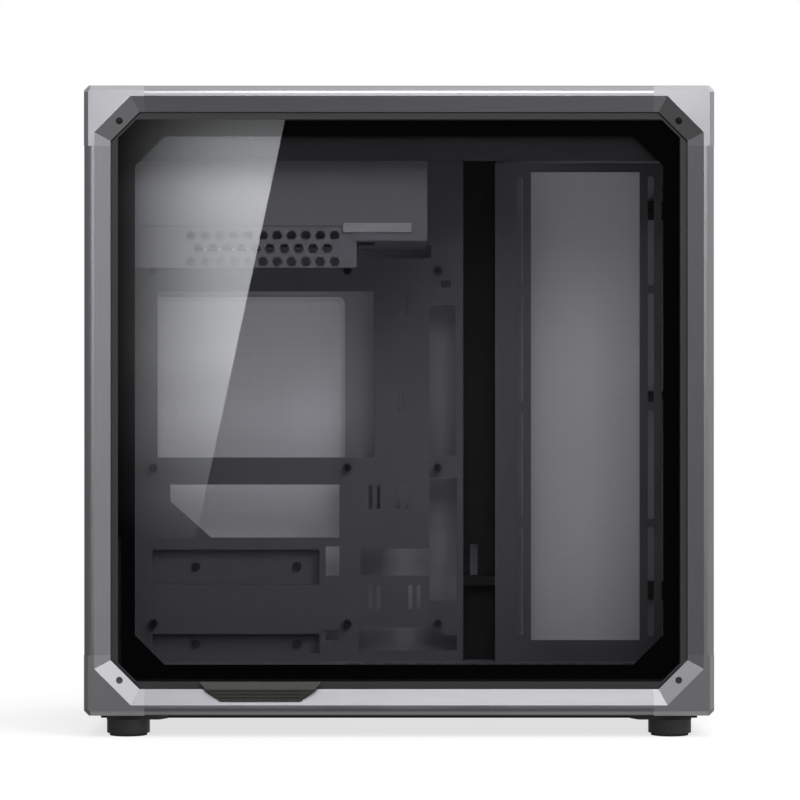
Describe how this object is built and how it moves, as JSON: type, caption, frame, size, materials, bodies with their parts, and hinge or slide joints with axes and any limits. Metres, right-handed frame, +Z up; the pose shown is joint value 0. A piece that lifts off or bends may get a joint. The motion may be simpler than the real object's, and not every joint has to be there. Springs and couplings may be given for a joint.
{
  "type": "computer case",
  "caption": "Open-frame mid-tower computer case: bevelled rails, cast corners, glass side, lift-off mesh panels and a steel chassis.",
  "frame": {"origin": "centre of the case on the surface it stands on, under the feet", "axes": "+X to the front, +Y away from the glass side, +Z up"},
  "size_m": [0.468, 0.24, 0.484],
  "materials": {
    "rail_aluminium": "bead-blasted, anodised silver grey",
    "cast_corner": "die-cast, satin silver",
    "tinted_glass": "tempered, lightly tinted, black printed border",
    "panel_frame": "dark grey powder coat",
    "tab_plastic": "ribbed, matte",
    "black_plastic": "moulded, matte",
    "side_panel_paint": "silver grey powder coat",
    "panel_mesh": "fine woven steel mesh, grey",
    "mesh_paint": "dark grey powder coat",
    "filter_mesh": "fine woven nylon",
    "foot_plastic": "moulded, satin black",
    "pad_rubber": "soft, matte",
    "chassis_paint": "dark grey fine-texture powder coat",
    "black_screw": "black oxide",
    "screw_steel": "nickel plated",
    "cover_paint": "dark grey fine-texture powder coat",
    "column_plastic": "moulded, satin black"
  },
  "bodies": {
    "chassis": {"top_left_rail": "rail_aluminium", "top_right_rail": "rail_aluminium", "bottom_left_rail": "rail_aluminium", "bottom_right_rail": "rail_aluminium", "rear_left_post": "rail_aluminium", "rear_right_post": "rail_aluminium", "front_left_post": "rail_aluminium", "front_right_post": "rail_aluminium", "top_rear_crossbar": "rail_aluminium", "top_front_crossbar": "rail_aluminium", "bottom_rear_crossbar": "rail_aluminium", "bottom_front_crossbar": "rail_aluminium", "corner_top_rear_left": "cast_corner", "corner_top_rear_right": "cast_corner", "corner_top_front_left": "cast_corner", "corner_top_front_right": "cast_corner", "corner_bottom_rear_left": "cast_corner", "corner_bottom_rear_right": "cast_corner", "corner_bottom_front_left": "cast_corner", "corner_bottom_front_right": "cast_corner", "stud_sockets": "black_plastic", "stud_bushes": "black_plastic", "filter_runners": "black_plastic", "foot_rear_left": "foot_plastic", "foot_rear_right": "foot_plastic", "foot_front_left": "foot_plastic", "foot_front_right": "foot_plastic", "foot_pads": "pad_rubber", "motherboard_tray": "chassis_paint", "standoffs": "black_screw", "rear_panel": "chassis_paint", "slot_covers": "chassis_paint", "slot_thumb_screws": "screw_steel", "psu_cover": "cover_paint", "psu_bracket": "chassis_paint", "cable_column": "column_plastic", "side_fan_bracket": "chassis_paint", "upper_drive_plate": "chassis_paint", "lower_drive_plate": "chassis_paint", "drive_plate_screws": "black_screw", "bottom_plate": "chassis_paint", "front_fan_frame": "chassis_paint", "top_fan_frame": "chassis_paint", "io_module": "column_plastic", "port_shells": "screw_steel"},
    "glass_side": {"glass_pane": "tinted_glass", "glass_frame": "panel_frame", "pull_tab": "tab_plastic", "glass_studs": "black_plastic"},
    "right_side": {"right_side_panel": "side_panel_paint", "side_panel_mesh": "panel_mesh", "right_panel_studs": "black_plastic"},
    "front_mesh": {"front_panel": "mesh_paint", "front_panel_studs": "black_plastic"},
    "top_mesh": {"top_panel": "mesh_paint", "top_panel_studs": "black_plastic"},
    "bottom_filter": {"bottom_filter_frame": "black_plastic", "bottom_filter_mesh": "filter_mesh"},
    "power_key": {"power_button": "cast_corner"},
    "reset_key": {"reset_button": "cast_corner"}
  },
  "joints": [
    {"name": "glass_panel_pull", "type": "slide", "parent": "chassis", "child": "glass_side", "axis": [0, -1, 0], "range_m": [0, 0.06]},
    {"name": "right_panel_pull", "type": "slide", "parent": "chassis", "child": "right_side", "axis": [0, 1, 0], "range_m": [0, 0.06]},
    {"name": "front_panel_pull", "type": "slide", "parent": "chassis", "child": "front_mesh", "axis": [1, 0, 0], "range_m": [0, 0.06]},
    {"name": "top_panel_lift", "type": "slide", "parent": "chassis", "child": "top_mesh", "axis": [0, 0, 1], "range_m": [0, 0.06]},
    {"name": "filter_slide", "type": "slide", "parent": "chassis", "child": "bottom_filter", "axis": [1, 0, 0], "range_m": [0, 0.38]},
    {"name": "power_press", "type": "slide", "parent": "chassis", "child": "power_key", "axis": [0, 0, -1], "range_m": [0, 0.0012], "stiffness_N_per_m": 400, "springref_m": -0.002},
    {"name": "reset_press", "type": "slide", "parent": "chassis", "child": "reset_key", "axis": [0, 0, -1], "range_m": [0, 0.0012], "stiffness_N_per_m": 300, "springref_m": -0.002}
  ]
}
